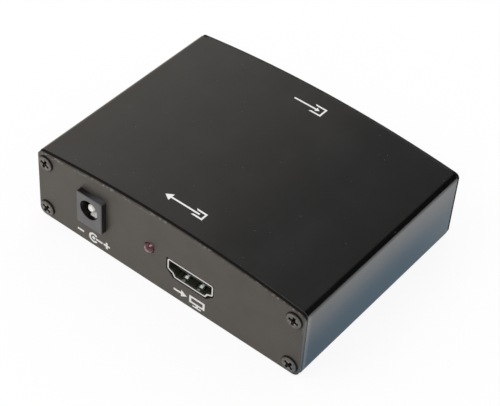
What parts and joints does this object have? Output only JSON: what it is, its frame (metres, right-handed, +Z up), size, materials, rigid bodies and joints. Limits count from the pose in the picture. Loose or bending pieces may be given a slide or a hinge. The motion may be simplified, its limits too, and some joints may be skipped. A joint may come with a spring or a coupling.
{
  "type": "video converter box",
  "caption": "Small black box that turns an analogue computer video input into digital video, with a power jack, lamp and sockets on its end panels.",
  "frame": {"origin": "centre of the flat underside of the case", "axes": "+X to the right seen from the front panel, +Y from the front panel to the back panel, +Z up"},
  "size_m": [0.09, 0.0752, 0.0258],
  "materials": {
    "sleeve_black": "satin black anodised",
    "panel_black": "satin black coated",
    "screw_dark": "dark zinc",
    "board_green": "solder mask",
    "jack_plastic": "moulded",
    "plated_bright": "bright nickel plate",
    "contact_metal": "tinned",
    "contact_gold": "thin gold plate",
    "lamp_red": "tinted clear",
    "port_black": "moulded",
    "port_blue": "moulded",
    "chip_black": "moulded",
    "ferrite_grey": "sintered",
    "winding_copper": "enamelled",
    "can_silver": "drawn",
    "ceramic_tan": "fired"
  },
  "bodies": {
    "box": {"case_sleeve": "sleeve_black", "front_panel": "panel_black", "back_panel": "panel_black", "front_panel_screws": "screw_dark", "back_panel_screws": "screw_dark", "circuit_board": "board_green", "dc_jack_housing": "jack_plastic", "dc_jack_centre_pin": "plated_bright", "dc_jack_leaf_terminal": "contact_metal", "power_led": "lamp_red", "led_leads": "contact_metal", "hdmi_shell": "plated_bright", "hdmi_insulator": "port_black", "hdmi_contacts": "contact_gold", "vga_shell": "plated_bright", "vga_insulator": "port_blue", "vga_rear_block": "port_black", "vga_contacts": "contact_gold", "vga_jackscrews": "plated_bright", "audio_jack_housing": "jack_plastic", "audio_jack_nose": "plated_bright", "audio_jack_nut": "plated_bright", "audio_spring_terminals": "contact_metal", "converter_chip": "chip_black", "converter_chip_leads": "contact_metal", "memory_chip": "chip_black", "memory_chip_leads": "contact_metal", "audio_chip": "chip_black", "audio_chip_leads": "contact_metal", "clock_crystal": "plated_bright", "voltage_regulators": "chip_black", "power_coil_core": "ferrite_grey", "power_coil_winding": "winding_copper", "electrolytic_cans": "can_silver", "electrolytic_bases": "port_black", "ceramic_capacitors": "ceramic_tan", "resistors": "chip_black"},
    "dc_leaf": {"dc_jack_leaf_contact": "contact_metal"},
    "audio_tip": {"audio_tip_spring": "contact_metal"},
    "audio_ring": {"audio_ring_spring": "contact_metal"}
  },
  "joints": [
    {"name": "dc_leaf_flex", "type": "hinge", "parent": "box", "child": "dc_leaf", "pos_m": [-0.0249, -0.02365, 0.0101], "axis": [1, 0, 0], "range_deg": [0, 2.6], "stiffness_Nm_per_rad": 0.05},
    {"name": "audio_tip_flex", "type": "hinge", "parent": "box", "child": "audio_tip", "pos_m": [0.0231, 0.0206, 0.01265], "axis": [0, 0, -1], "range_deg": [0, 6.5], "stiffness_Nm_per_rad": 0.02},
    {"name": "audio_ring_flex", "type": "hinge", "parent": "box", "child": "audio_ring", "pos_m": [0.0169, 0.0206, 0.01265], "axis": [0, 0, 1], "range_deg": [0, 3.6], "stiffness_Nm_per_rad": 0.02}
  ]
}
